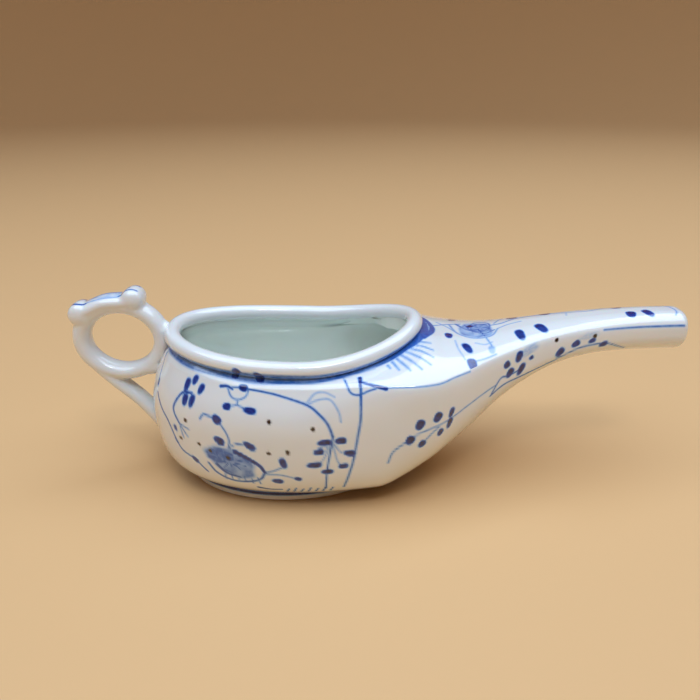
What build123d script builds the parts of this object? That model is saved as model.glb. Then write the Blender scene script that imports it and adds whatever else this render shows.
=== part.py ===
from build123d import *
import math
import os

# A porcelain invalid feeder, in millimetres: spout along +X, handle along -X, up along +Z.
# The foot stands on Z = 0 and the cup is the same on both sides of the plane Y = 0.

# Bowl
half_length = 92.0          # middle of the cup to the lip of the spout, and to the thumb rest
bowl_center_x = -23.0       # where the bowl is widest
bowl_half_width = 31.0
bowl_back_reach = 45.8      # widest place to the back of the bowl
bowl_wide_z = 24.0          # height of the widest place
bowl_floor_z = 1.3          # underside of the bowl inside the foot
bowl_back_x = bowl_center_x - bowl_back_reach
bowl_back_tuck = 0.16       # how much less the underside reaches back than the widest place
back_roundness = 2.15       # 2 is an ellipse seen from above, more is squarer
wall = 3.0
spout_wall = 2.8
floor_wall = 3.2

# Half cover in front of the mouth
cover_back_x = -1.0

# Mouth and its rolled rim
mouth_front_x = 11.2
mouth_back_x = -61.1
mouth_center_x = -24.5
mouth_half_width = 22.9
mouth_back_roundness = 2.15
rim_radius = 2.4
rim_low_z = 42.7            # middle of the roll at the lowest place of the saddle
rim_low_x = -20.0
rim_back_rise = 3.3
rim_front_rise = 6.1
rim_seat = 1.8              # the roll's middle stands this far over the shoulder
rim_overhang = 0.6          # the shoulder reaches this far outside the roll's middle line
rim_inside = 1.8            # the mouth is cut this far inside the roll's middle line

# Foot
foot_center_x = -27.6
foot_half_length = 32.0
foot_half_width = 23.1
foot_width = 4.0
foot_round = 0.6

# Spout
spout_joint_x = 49.0
lip_length = 3.6
lip_draw_in = 2.0

# Ring handle
ring_back_gap = 0.2         # the ring starts this far in front of the thumb rest's end
ring_sink = 6.4             # the ring runs this far into the back of the bowl, and is cut to it
ring_center_z = 43.0
ring_half_height = 10.7     # to the middle of the ring's bar
ring_bar = 5.2
ring_depth = 7.0
ring_round = 2.3

# Thumb rest
scroll_depth = 8.6
scroll_round = 2.6
back_scroll_radius = 3.3
back_scroll_z = 51.4
front_scroll_radius = 3.3
front_scroll_z = 56.0
front_scroll_gap = 2.1      # middle of the front scroll to the back of the bowl
rest_plate = 3.2
rest_plate_depth = 7.2
rest_swell_z = 56.6

# Strut under the ring
strut_bar = 4.4
strut_depth = 7.0
strut_round = 1.6
strut_back_gap = 4.8        # the thumb rest's end to where the strut leaves the ring
strut_sink = 5.8            # the strut runs this far under the back of the bowl, and is cut to it
strut_line = [(0, 36.6), (0.124, 33.0), (0.302, 28.6), (0.570, 22.3), (0.818, 14.6), (1, 6.0)]

# Shape of the hull along X: each row is x and the size there
half_width_at = [(-23, bowl_half_width), (-1, 30), (9, 28.6), (16, 26.6), (21, 23.6), (26, 20.3),
                 (30, 17.6), (34, 15.3), (39, 13.1), (49, 10.2), (59, 8.6), (69, 7.6), (79, 7.0),
                 (92, 6.7)]
wide_z_at = [(-23, bowl_wide_z), (-1, 25), (9, 26.2), (19, 28.4), (29, 31.4), (39, 36.2), (49, 40.7),
             (59, 43.7), (69, 45.4), (79, 46.3), (92, 46.6)]
keel_z_at = [(-23, bowl_floor_z), (0, 1.8), (9, 4.0), (14, 6.4), (19, 9.6), (24, 13.4), (29, 17.8),
             (34, 22.6), (39, 27.0), (44, 30.6), (49, 33.8), (54, 36.2), (59, 37.9), (69, 39.7),
             (79, 40.2), (92, 40.5)]
crease_y_at = [(-23, 26.6), (-10, 27.2), (-1, 27.9), (9, 27.4), (16, 25.4), (21, 22.2), (26, 19.0),
               (30, 16.4), (34, 14.2), (39, 12.1), (49, 9.2), (59, 7.7), (69, 6.7), (79, 6.1), (92, 5.8)]
crease_z_at = [(-23, 38.2), (-10, 39.2), (-1, 40), (9, 40), (16, 40.1), (21, 40.6), (26, 41.3),
               (34, 43.0), (39, 44.2), (49, 46.6), (59, 48.4), (69, 49.6), (79, 50.3), (92, 50.6)]
deck_z_at = [(9.5, 46.5), (12, 47.0), (15, 46.6), (19, 45.8), (26, 45.3), (34, 46.0), (44, 47.8),
             (54, 49.4), (64, 50.8), (74, 51.7), (84, 52.3), (92, 52.4)]
crease_tilt_at = [(-23, 62), (-8, 58), (9, 50), (40, 48), (92, 50)]
shoulder_tilt_at = [(-23, 52), (-8, 40), (5, 18), (10, 4), (40, 3), (92, 4)]
hull_square_at = [(-23, 0.90), (0, 0.86), (12, 0.72), (22, 0.64), (40, 0.56), (92, 0.60)]
crease_soft_at = [(-23, 0.36), (-8, 0.30), (4, 0.16), (40, 0.18), (60, 0.26), (92, 0.36)]

section_steps = 96          # fine steps along a half section, before it is spaced evenly
section_spans = 30          # even spans between the points of a half section
bowl_section_count = 16             # even spans from the widest place to the spout's joint
hollow_section_count = 15
spout_section_count = 8
back_shares = [0.999, 0.99, 0.965, 0.92, 0.85, 0.75, 0.62, 0.48, 0.32, 0.16]
lip_shares = [0, 0.25, 0.5, 0.7, 0.85, 0.95, 1]
rim_spans = 16              # round slices in half of the rolled rim
mouth_points = 28
strut_points = 6
mouth_cut_below = 12.0      # the mouth's cut starts this far under the roll
bore_past_lip = 2.0         # the bore's cut runs this far past the lip


def along(rows, x):
    """Smooth value at x through the rows, with no overshoot between them."""
    xs = [row[0] for row in rows]
    ys = [row[1] for row in rows]
    if x <= xs[0]:
        return ys[0]
    if x >= xs[-1]:
        return ys[-1]
    slopes = [(ys[i + 1] - ys[i]) / (xs[i + 1] - xs[i]) for i in range(len(xs) - 1)]

    def tangent(i):
        if i == 0 or i == len(xs) - 1 or slopes[i - 1] * slopes[i] <= 0:
            return 0.0
        before = xs[i] - xs[i - 1]
        after = xs[i + 1] - xs[i]
        first = 2 * after + before
        second = after + 2 * before
        return (first + second) / (first / slopes[i - 1] + second / slopes[i])

    i = max(k for k in range(len(xs) - 1) if xs[k] <= x)
    span = xs[i + 1] - xs[i]
    t = (x - xs[i]) / span
    return ((1 + 2 * t) * (1 - t) ** 2 * ys[i] + t * (1 - t) ** 2 * span * tangent(i)
            + t * t * (3 - 2 * t) * ys[i + 1] + t * t * (t - 1) * span * tangent(i + 1))


def mouth_y(x):
    """Half width of the mouth's middle line at x."""
    if x >= mouth_center_x:
        reach, roundness = mouth_front_x - mouth_center_x, 2.0
    else:
        reach, roundness = mouth_center_x - mouth_back_x, mouth_back_roundness
    share = min(abs(x - mouth_center_x) / reach, 1.0)
    return mouth_half_width * (1 - share ** roundness) ** (1 / roundness)


def rim_z(x):
    """Height of the roll's middle line at x: a saddle, higher at the front."""
    if x < rim_low_x:
        return rim_low_z + rim_back_rise * ((rim_low_x - x) / (rim_low_x - mouth_back_x)) ** 2
    return rim_low_z + rim_front_rise * ((x - rim_low_x) / (mouth_front_x - rim_low_x)) ** 1.8


def bezier(p, q, r, s, t):
    a, b, c, d = (1 - t) ** 3, 3 * t * (1 - t) ** 2, 3 * t * t * (1 - t), t ** 3
    return (a * p[0] + b * q[0] + c * r[0] + d * s[0], a * p[1] + b * q[1] + c * r[1] + d * s[1])


def section_point(x, mark, inset):
    """Point (y, z) of the cross section at x: mark 0 is the keel, 1 the widest place,
    2 the crease, 3 the shoulder at the rim and 4 the top of the middle."""
    half = along(half_width_at, x) - inset
    wide = along(wide_z_at, x)
    keel = along(keel_z_at, x) + inset * floor_wall / wall
    crease = (along(crease_y_at, x) - 0.85 * inset, along(crease_z_at, x) - 0.75 * inset)
    tilt = math.radians(along(crease_tilt_at, x))
    lean = math.radians(along(shoulder_tilt_at, x))
    square = along(hull_square_at, x)
    soft = along(crease_soft_at, x)
    strip = 0.25 * crease[0]
    if x < mouth_front_x and mouth_y(x) + rim_overhang - 0.75 * inset > strip:
        rim = (mouth_y(x) + rim_overhang - 0.75 * inset, rim_z(x) - rim_seat - 0.6 * inset)
    else:
        rim = (strip, along(deck_z_at, x) - inset)
    top = (0.0, rim[1] + 0.2 * rim[0] * math.tan(lean))
    if mark <= 1:
        height = wide - keel
        return bezier((0.0, keel), (square * half, keel), (half, wide - square * height), (half, wide), mark)
    if mark <= 2:
        reach = math.dist((half, wide), crease)
        below = (crease[0] + soft * reach * math.cos(tilt), crease[1] - soft * reach * math.sin(tilt))
        return bezier((half, wide), (half, wide + 0.45 * reach), below, crease, mark - 1)
    if mark <= 3:
        reach = math.dist(crease, rim)
        above = (crease[0] - soft * reach * math.cos(tilt), crease[1] + soft * reach * math.sin(tilt))
        before = (rim[0] + 0.35 * reach * math.cos(lean), rim[1] - 0.35 * reach * math.sin(lean))
        return bezier(crease, above, before, rim, mark - 2)
    after = (0.85 * rim[0], rim[1] + 0.15 * rim[0] * math.tan(lean))
    return bezier(rim, after, (0.4 * rim[0], top[1]), top, mark - 3)


def back_reach(side, mark):
    """How far behind the widest place the bowl reaches, where its side is this wide."""
    tuck = bowl_back_tuck * (1 - min(mark, 1.0))
    return side + (bowl_back_reach - bowl_half_width) * (1 - tuck)


def back_point(x, mark, inset):
    """Point (y, z) at x behind the widest place, where the section turns round the back."""
    side, z = section_point(bowl_center_x, mark, inset)
    share = min((bowl_center_x - x) / back_reach(side, mark), 1.0)
    lift = (rim_z(max(x, mouth_back_x)) - rim_z(bowl_center_x)) * min(max(mark - 1, 0), 2) / 2
    return side * (1 - share ** back_roundness) ** (1 / back_roundness), z + lift


def find_mark(x, low, high, inset):
    """Mark between low and high where the section behind the widest place ends at x."""
    for _ in range(50):
        middle = (low + high) / 2
        side = section_point(bowl_center_x, middle, inset)[0]
        if back_reach(side, middle) > bowl_center_x - x:
            high = middle
        else:
            low = middle
    return high


def section_points(x, inset):
    """Half section from the keel to the top, as evenly spaced points (y, z)."""
    shares = [i / section_steps for i in range(section_steps + 1)]
    if x >= bowl_center_x:
        fine = [section_point(x, 4 * share, inset) for share in shares]
    else:
        low = find_mark(x, 0.0, 1.0, inset)
        high = find_mark(x, 4.0, 1.0, inset)
        turns = [0.5 - 0.5 * math.cos(math.pi * share) for share in shares]
        fine = [back_point(x, low + (high - low) * turn, inset) for turn in turns]
    fine[0] = (0.0, fine[0][1])
    fine[-1] = (0.0, fine[-1][1])
    lengths = [0.0]
    for a, b in zip(fine, fine[1:]):
        lengths.append(lengths[-1] + math.dist(a, b))
    points = []
    k = 0
    for i in range(section_spans + 1):
        goal = lengths[-1] * i / section_spans
        while k < section_steps - 1 and lengths[k + 1] < goal:
            k += 1
        t = (goal - lengths[k]) / (lengths[k + 1] - lengths[k])
        points.append(tuple(p + t * (q - p) for p, q in zip(fine[k], fine[k + 1])))
    return points


def section_wire(x, inset):
    points = section_points(x, inset)
    near = [Vector(x, -y, z) for y, z in points]
    far = [Vector(x, y, z) for y, z in reversed(points)]
    steps = [i / section_spans for i in range(section_spans + 1)]
    along_y = Vector(0, 1, 0)
    near_half = Edge.make_spline(near, tangents=[-along_y, along_y], parameters=steps)
    far_half = Edge.make_spline(far, tangents=[along_y, -along_y], parameters=steps)
    return Wire([near_half, far_half])


def hull_solid(inset_at, stations):
    """Closed solid through the sections, each drawn in by the inset at its station."""
    return Solid.make_loft([section_wire(x, inset_at(x)) for x in stations])


def wall_inset(x):
    """Wall thickness along the hull."""
    return along([(spout_joint_x - 15, wall), (half_length, spout_wall)], x)


def no_inset(x):
    return 0.0


def lip_inset(x):
    """How far the outside draws in towards the lip of the spout."""
    share = min((x - half_length + lip_length) / lip_length, 1.0)
    return lip_draw_in * (1 - math.sqrt(1 - share ** 2))


def even(start, end, spans):
    """Evenly spaced places from start to end."""
    return [start + (end - start) * i / spans for i in range(spans + 1)]


def bowl_lofts(inset_at, reach, spans):
    """The bowl filled: its back behind the widest place, and its front up to the spout."""
    back = [bowl_center_x - share * reach for share in back_shares] + [bowl_center_x]
    front = even(bowl_center_x, spout_joint_x, spans)
    return hull_solid(inset_at, back) + hull_solid(inset_at, front)


def make_spout(bore):
    """The spout with its rounded lip, less its bore."""
    lip_x = half_length - lip_length
    tube = hull_solid(no_inset, even(spout_joint_x, lip_x, spout_section_count))
    lip = hull_solid(lip_inset, [lip_x + share * lip_length for share in lip_shares])
    return tube + lip - bore


def mouth_point(turn, inside=0.0):
    """Point of the mouth's middle line at a turn from the front, drawn in by inside."""
    c, s = math.cos(turn), math.sin(turn)
    reach = (mouth_front_x - mouth_center_x if c >= 0 else mouth_center_x - mouth_back_x) - inside
    roundness = 2.0 if c >= 0 else mouth_back_roundness
    x = mouth_center_x + math.copysign(reach * abs(c) ** (2 / roundness), c)
    y = -math.copysign((mouth_half_width - inside) * abs(s) ** (2 / roundness), s)
    return Vector(x, y, rim_z(min(max(x, mouth_back_x), mouth_front_x)))


def upright(shape, depth):
    """A face drawn on XZ, given its depth evenly on both sides of Y = 0."""
    return extrude(shape, amount=depth / 2, both=True)


def make_rim_bead():
    """The rolled rim: a round bar along the saddle of the mouth, in two mirrored halves."""
    circles = []
    for i in range(rim_spans + 1):
        turn = math.pi * i / rim_spans
        step = 0.002
        ahead = mouth_point(min(turn + step, math.pi))
        behind = mouth_point(max(turn - step, 0))
        direction = ahead - behind
        if i in (0, rim_spans):
            direction = Vector(0, 1, 0) if i else Vector(0, -1, 0)
        plane = Plane(mouth_point(turn), x_dir=Vector(0, 0, 1), z_dir=direction)
        circles.append(Wire([Edge.make_circle(rim_radius, plane)]))
    half = Solid.make_loft(circles)
    return half + mirror(half, about=Plane.XZ)


def make_mouth_cut():
    """Prism that opens the mouth inside the rolled rim."""
    points = []
    for i in range(mouth_points):
        place = mouth_point(2 * math.pi * i / mouth_points, rim_inside)
        points.append((place.X, place.Y))
    outline = Plane.XY.offset(rim_low_z - mouth_cut_below) * make_face(Spline(*points, periodic=True))
    return extrude(outline, amount=mouth_cut_below + rim_front_rise + 4 * rim_radius)


def make_cover_region():
    """Everything above the crease in front of the cover's back end, up to the spout."""
    low = []
    count = 12
    for i in range(count + 1):
        x = cover_back_x + (spout_joint_x - cover_back_x) * i / count
        low.append((x, along(crease_z_at, x)))
    high_z = rim_low_z + rim_front_rise + 4 * rim_radius
    back, front = low[0][0], low[-1][0]
    line = Spline(*low) + Polyline(low[-1], (front, high_z), (back, high_z), low[0])
    return upright(Plane.XZ * make_face(line), 4 * bowl_half_width)


def make_foot(outside):
    """Oval foot, cut to the underside of the bowl."""
    ring = Ellipse(foot_half_length, foot_half_width)
    ring -= Ellipse(foot_half_length - foot_width, foot_half_width - foot_width)
    foot = extrude(Pos(foot_center_x, 0) * ring, amount=bowl_wide_z / 2)
    foot = fillet(foot.edges().group_by(Axis.Z)[0], foot_round)
    return foot - outside


def make_ring():
    """Oval finger ring, a flattened round bar."""
    back = -half_length + ring_back_gap
    front = bowl_back_x + ring_sink
    outer_length, outer_height = (front - back) / 2, ring_half_height + ring_bar / 2
    ring = Ellipse(outer_length, outer_height) - Ellipse(outer_length - ring_bar, outer_height - ring_bar)
    solid = upright(Plane.XZ * Pos((front + back) / 2, ring_center_z) * ring, ring_depth)
    return fillet(solid.edges().filter_by(GeomType.ELLIPSE), ring_round)


def make_thumb_rest():
    """Leaf-shaped plate over the ring, between two round scrolls."""
    back_x = -half_length + back_scroll_radius
    front_x = bowl_back_x - front_scroll_gap
    scrolls = []
    for x, z, radius in ((back_x, back_scroll_z, back_scroll_radius),
                         (front_x, front_scroll_z, front_scroll_radius)):
        roll = upright(Plane.XZ * Pos(x, z) * Circle(radius), scroll_depth)
        scrolls.append(fillet(roll.edges().filter_by(GeomType.CIRCLE), scroll_round))
    length = front_x - back_x
    top = [(back_x, back_scroll_z + 0.55 * back_scroll_radius), (back_x + 0.19 * length, rest_swell_z - 2.2),
           (back_x + 0.44 * length, rest_swell_z - 0.2), (back_x + 0.77 * length, rest_swell_z),
           (front_x, front_scroll_z + 0.55 * front_scroll_radius)]
    low = [(x, z - rest_plate) for x, z in reversed(top)]
    outline = Spline(*top) + Line(top[-1], low[0]) + Spline(*low) + Line(low[-1], top[0])
    plate = upright(Plane.XZ * make_face(outline), rest_plate_depth)
    return plate + scrolls[0] + scrolls[1]


def make_strut():
    """Curved strut from the lower back of the ring to the back of the bowl."""
    back = -half_length + strut_back_gap
    front = bowl_back_x + strut_sink
    path = Spline(*[(back + share * (front - back), z) for share, z in strut_line])
    upper, lower = [], []
    for i in range(strut_points + 1):
        share = i / strut_points
        place, direction = path @ share, path % share
        side = Vector(-direction.Y, direction.X) * (strut_bar / 2)
        upper.append(place + side)
        lower.append(place - side)
    lower.reverse()
    outline = Spline(*upper) + Line(upper[-1], lower[0]) + Spline(*lower) + Line(lower[-1], upper[0])
    strut = upright(Plane.XZ * make_face(outline), strut_depth)
    return fillet(strut.edges().filter_by(GeomType.BSPLINE), strut_round)


def one(shape):
    """The largest solid of a cut, so that no sliver is left beside it."""
    return max(shape.solids(), key=lambda solid: solid.volume)


outside = bowl_lofts(no_inset, bowl_back_reach, bowl_section_count)
hollow = bowl_lofts(wall_inset, bowl_back_reach - wall, hollow_section_count)
bore = hull_solid(wall_inset, even(spout_joint_x, half_length + bore_past_lip, spout_section_count))
rim_bead = make_rim_bead()
shell = outside - hollow - make_mouth_cut() - rim_bead
cover_region = make_cover_region()
spout = one(make_spout(bore))
cover = one(shell & cover_region)
bowl = one(shell - cover_region)
foot_ring = one(make_foot(outside))
thumb_rest = one(make_thumb_rest())
handle_ring = one(make_ring() - thumb_rest - outside - rim_bead)
handle_strut = one(make_strut() - handle_ring - outside)

os.makedirs("parts", exist_ok=True)
nodes = {
    "bowl": bowl,
    "cover": cover,
    "rim_bead": one(rim_bead),
    "spout": spout,
    "foot_ring": foot_ring,
    "handle_ring": handle_ring,
    "thumb_rest": thumb_rest,
    "handle_strut": handle_strut,
}
for name, solid in nodes.items():
    export_step(solid, "parts/" + name + ".step")
    box = solid.bounding_box()
    print(name, round(solid.volume, 1), [round(v, 2) for v in (*box.min, *box.max)])
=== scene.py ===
import math
import bpy
import bmesh
import numpy as np
from mathutils import Matrix, Vector


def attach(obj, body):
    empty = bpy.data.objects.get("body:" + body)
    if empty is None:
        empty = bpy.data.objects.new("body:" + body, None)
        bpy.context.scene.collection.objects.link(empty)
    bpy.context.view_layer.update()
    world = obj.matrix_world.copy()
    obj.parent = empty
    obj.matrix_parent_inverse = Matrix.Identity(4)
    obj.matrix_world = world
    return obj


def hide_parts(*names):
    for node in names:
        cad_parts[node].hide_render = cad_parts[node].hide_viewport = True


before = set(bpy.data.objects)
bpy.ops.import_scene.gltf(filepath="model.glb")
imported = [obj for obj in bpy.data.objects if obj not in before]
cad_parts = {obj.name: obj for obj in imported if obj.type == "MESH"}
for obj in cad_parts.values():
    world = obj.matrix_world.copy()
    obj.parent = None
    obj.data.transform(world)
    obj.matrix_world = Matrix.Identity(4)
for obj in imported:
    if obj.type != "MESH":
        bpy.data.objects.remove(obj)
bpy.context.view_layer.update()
print("frame loaded:", len(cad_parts), "nodes")

# Everything is worked out in millimetres, x towards the spout, and written to the meshes in metres.
mm = 0.001

# The potted shape: each row is x and the size there, behind centerX the section turns round the back.
hull = {
    "centerX": -23.0, "halfWidth": 31.0, "backReach": 45.8, "wideZ": 24.0, "floorZ": 1.3,
    "backTuck": 0.16, "backRoundness": 2.15, "wall": 3.0, "floorWall": 3.2, "spoutWall": 2.8,
    "spoutX": 49.0, "lipX": 92.0, "lipLength": 3.6, "coverX": -1.0,
    "width": [(-23, 31), (-1, 30), (9, 28.6), (16, 26.6), (21, 23.6), (26, 20.3), (30, 17.6), (34, 15.3),
              (39, 13.1), (49, 10.2), (59, 8.6), (69, 7.6), (79, 7.0), (92, 6.7)],
    "wide": [(-23, 24), (-1, 25), (9, 26.2), (19, 28.4), (29, 31.4), (39, 36.2), (49, 40.7), (59, 43.7),
             (69, 45.4), (79, 46.3), (92, 46.6)],
    "keel": [(-23, 1.3), (0, 2.0), (9, 5.0), (14, 7.8), (19, 10.8), (24, 14.2), (29, 17.8), (34, 22.6),
             (39, 27.0), (44, 30.6), (49, 33.8), (54, 36.2), (59, 37.9), (69, 39.7), (79, 40.2), (92, 40.5)],
    "creaseY": [(-23, 26.6), (-10, 27.2), (-1, 27.9), (9, 27.4), (16, 25.4), (21, 22.2), (26, 19.0),
                (30, 16.4), (34, 14.2), (39, 12.1), (49, 9.2), (59, 7.7), (69, 6.7), (79, 6.1), (92, 5.8)],
    "creaseZ": [(-23, 38.2), (-10, 39.2), (-1, 40), (9, 40), (16, 40.1), (21, 40.6), (26, 41.3), (34, 43.0),
                (39, 44.2), (49, 46.6), (59, 48.4), (69, 49.6), (79, 50.3), (92, 50.6)],
    "deckZ": [(9.5, 46.5), (12, 47.0), (15, 46.6), (19, 45.8), (26, 45.3), (34, 46.0), (44, 47.8),
              (54, 49.4), (64, 50.8), (74, 51.7), (84, 52.3), (92, 52.4)],
    "creaseTilt": [(-23, 62), (-8, 58), (9, 50), (40, 48), (92, 50)],
    "shoulderTilt": [(-23, 52), (-8, 40), (5, 18), (10, 4), (40, 3), (92, 4)],
    "square": [(-23, 0.90), (0, 0.86), (12, 0.72), (22, 0.64), (40, 0.56), (92, 0.60)],
    "creaseSoft": [(-23, 0.36), (-8, 0.30), (4, 0.16), (40, 0.18), (60, 0.26), (92, 0.36)],
}

# The mouth and its rolled rim, a saddle that is higher at the front.
mouth = {
    "frontX": 11.2, "backX": -61.1, "centerX": -24.5, "halfWidth": 22.9, "backRoundness": 2.15,
    "radius": 2.4, "lowZ": 42.7, "lowX": -20.0, "backRise": 3.3, "frontRise": 6.1, "risePower": 1.8,
    "seat": 1.8, "overhang": 0.6, "inside": 1.8,
}


def along(rows, x):  # smooth value at x through the rows, with no overshoot between them
    xs, ys = np.array(rows, float).T
    gaps = np.diff(xs)
    slopes = np.diff(ys) / gaps
    first = 2 * gaps[1:] + gaps[:-1]
    second = gaps[1:] + 2 * gaps[:-1]
    same = slopes[:-1] * slopes[1:] > 0
    before = np.where(same, slopes[:-1], 1.0)
    after = np.where(same, slopes[1:], 1.0)
    inner = np.where(same, (first + second) / (first / before + second / after), 0.0)
    tangents = np.concatenate([[0.0], inner, [0.0]])
    x = np.clip(x, xs[0], xs[-1])
    i = np.clip(np.searchsorted(xs, x, side="right") - 1, 0, len(xs) - 2)
    t = (x - xs[i]) / gaps[i]
    return ((1 + 2 * t) * (1 - t) ** 2 * ys[i] + t * (1 - t) ** 2 * gaps[i] * tangents[i]
            + t * t * (3 - 2 * t) * ys[i + 1] + t * t * (t - 1) * gaps[i] * tangents[i + 1])


def mouthY(x):  # half width of the mouth's middle line
    front = mouth["frontX"] - mouth["centerX"]
    back = mouth["centerX"] - mouth["backX"]
    ahead = x >= mouth["centerX"]
    share = np.minimum(np.abs(x - mouth["centerX"]) / np.where(ahead, front, back), 1.0)
    power = np.where(ahead, 2.0, mouth["backRoundness"])
    return mouth["halfWidth"] * (1 - share ** power) ** (1 / power)


def rimZ(x):
    back = mouth["backRise"] * (np.clip(mouth["lowX"] - x, 0, None) / (mouth["lowX"] - mouth["backX"])) ** 2
    front = np.clip(x - mouth["lowX"], 0, None) / (mouth["frontX"] - mouth["lowX"])
    return mouth["lowZ"] + back + mouth["frontRise"] * front ** mouth["risePower"]


def bezier(p, q, r, s, t):
    a, b, c, d = (1 - t) ** 3, 3 * t * (1 - t) ** 2, 3 * t * t * (1 - t), t ** 3
    return a * p[0] + b * q[0] + c * r[0] + d * s[0], a * p[1] + b * q[1] + c * r[1] + d * s[1]


def sectionPoint(x, mark, inset):  # y, z: mark 0 keel, 1 widest, 2 crease, 3 shoulder at the rim, 4 middle
    half = along(hull["width"], x) - inset
    wide = along(hull["wide"], x)
    keel = along(hull["keel"], x) + inset * hull["floorWall"] / hull["wall"]
    creaseY = along(hull["creaseY"], x) - 0.85 * inset
    creaseZ = along(hull["creaseZ"], x) - 0.75 * inset
    tilt = np.radians(along(hull["creaseTilt"], x))
    lean = np.radians(along(hull["shoulderTilt"], x))
    square = along(hull["square"], x)
    soft = along(hull["creaseSoft"], x)
    strip = 0.25 * creaseY
    overMouth = mouthY(x) + mouth["overhang"] - 0.75 * inset
    onRim = (x < mouth["frontX"]) & (overMouth > strip)
    rimY = np.where(onRim, overMouth, strip)
    rimHigh = np.where(onRim, rimZ(np.minimum(x, mouth["frontX"])) - mouth["seat"] - 0.6 * inset,
                       along(hull["deckZ"], x) - inset)
    topZ = rimHigh + 0.2 * rimY * np.tan(lean)
    zero = np.zeros_like(half)
    low = bezier((zero, keel), (square * half, keel), (half, wide - square * (wide - keel)), (half, wide),
                 np.clip(mark, 0, 1))
    reach = np.hypot(half - creaseY, wide - creaseZ)
    side = bezier((half, wide), (half, wide + 0.45 * reach),
                  (creaseY + soft * reach * np.cos(tilt), creaseZ - soft * reach * np.sin(tilt)),
                  (creaseY, creaseZ), np.clip(mark - 1, 0, 1))
    reach = np.hypot(creaseY - rimY, creaseZ - rimHigh)
    deck = bezier((creaseY, creaseZ),
                  (creaseY - soft * reach * np.cos(tilt), creaseZ + soft * reach * np.sin(tilt)),
                  (rimY + 0.35 * reach * np.cos(lean), rimHigh - 0.35 * reach * np.sin(lean)),
                  (rimY, rimHigh), np.clip(mark - 2, 0, 1))
    top = bezier((rimY, rimHigh), (0.85 * rimY, rimHigh + 0.15 * rimY * np.tan(lean)),
                 (0.4 * rimY, topZ), (zero, topZ), np.clip(mark - 3, 0, 1))
    parts = [mark <= 1, mark <= 2, mark <= 3]
    return (np.select(parts, [low[0], side[0], deck[0]], top[0]),
            np.select(parts, [low[1], side[1], deck[1]], top[1]))


def hullPoint(u, mark, inset):  # u from -1 at the back through 0 at the widest place, and then x past it
    ahead = u >= 0
    x = np.where(ahead, hull["centerX"] + np.maximum(u, 0), hull["centerX"])
    y, z = sectionPoint(x, mark, inset)
    turn = np.clip(-u, 0, 1) * math.pi / 2
    tuck = hull["backTuck"] * (1 - np.minimum(mark, 1.0))
    reach = y + (hull["backReach"] - hull["halfWidth"]) * (1 - tuck)
    power = 2 / hull["backRoundness"]
    backX = x - reach * np.sin(turn) ** power
    lift = rimZ(np.maximum(backX, mouth["backX"])) - rimZ(np.array(hull["centerX"]))
    backZ = z + lift * np.clip(mark - 1, 0, 2) / 2
    backY = y * np.maximum(np.cos(turn), 0) ** power
    return np.stack([np.where(ahead, x, backX), np.where(ahead, y, backY), np.where(ahead, z, backZ)], -1)


def wallAt(u):
    x = hull["centerX"] + np.maximum(u, 0)
    return along([(hull["spoutX"] - 15, hull["wall"]), (hull["lipX"], hull["spoutWall"])], x)


def hullNormal(u, mark, inset, ends):  # outward normal from small steps along and across
    step = 0.002
    span = hullPoint(np.minimum(u + step, ends[1]), mark, inset) - hullPoint(np.maximum(u - step, ends[0]), mark, inset)
    rise = hullPoint(u, np.minimum(mark + step, 4), inset) - hullPoint(u, np.maximum(mark - step, 0), inset)
    normal = np.cross(span, rise)
    point = hullPoint(u, mark, inset)
    middle = np.stack([np.maximum(point[..., 0], hull["centerX"]), np.zeros_like(u),
                       along(hull["wide"], point[..., 0])], -1)
    outward = np.sign(np.sum(normal * (point - middle), -1, keepdims=True))
    return normal * outward / np.maximum(np.linalg.norm(normal, axis=-1, keepdims=True), 1e-12)


# Distance tables of the surface, for even columns and for painting in real millimetres.
tables = {"backSteps": 240, "frontStep": 0.25, "markSteps": 120}
uTable = np.concatenate([np.linspace(-1, 0, tables["backSteps"], endpoint=False),
                         np.arange(0, hull["lipX"] - hull["centerX"] + 0.01, tables["frontStep"])])
markTable = np.linspace(0, 4, tables["markSteps"] + 1)
sideLine = hullPoint(uTable, np.full_like(uTable, 1.5), 0.0)
sTable = np.concatenate([[0.0], np.cumsum(np.linalg.norm(np.diff(sideLine, axis=0), axis=1))])
skin = hullPoint(uTable[:, None] + 0 * markTable, markTable + 0 * uTable[:, None], 0.0)
climb = np.linalg.norm(np.diff(skin, axis=1), axis=2)
hTable = np.concatenate([np.zeros((len(uTable), 1)), np.cumsum(climb, axis=1)], 1)
hTable -= hTable[:, tables["markSteps"] // 2][:, None]  # the crease is at height 0 on the skin


def lengthOf(u):  # distance along the side from the middle of the back
    return np.interp(u, uTable, sTable)


def uOf(x):
    return x - hull["centerX"]


def heightOf(u, mark):  # distance up the skin from the crease
    i = np.clip(np.searchsorted(uTable, u) - 1, 0, len(uTable) - 2)
    t = np.clip((u - uTable[i]) / (uTable[i + 1] - uTable[i]), 0, 1)
    m = np.clip(mark / 4 * tables["markSteps"], 0, tables["markSteps"] - 1e-6)
    j = m.astype(int)
    w = m - j
    low = hTable[i, j] * (1 - w) + hTable[i, j + 1] * w
    high = hTable[i + 1, j] * (1 - w) + hTable[i + 1, j + 1] * w
    return low * (1 - t) + high * t


def mouthPoint(turn, inside):  # middle line of the roll, drawn in by inside; turn 0 is the front
    c, s = np.cos(turn), np.sin(turn)
    front = mouth["frontX"] - mouth["centerX"] - inside
    back = mouth["centerX"] - mouth["backX"] - inside
    power = np.where(c >= 0, 1.0, 2 / mouth["backRoundness"])
    x = mouth["centerX"] + np.where(c >= 0, front, back) * np.sign(c) * np.abs(c) ** power
    y = -(mouth["halfWidth"] - inside) * np.sign(s) * np.abs(s) ** power
    return np.stack([x, y, rimZ(np.clip(x, mouth["backX"], mouth["frontX"]))], -1)


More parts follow.
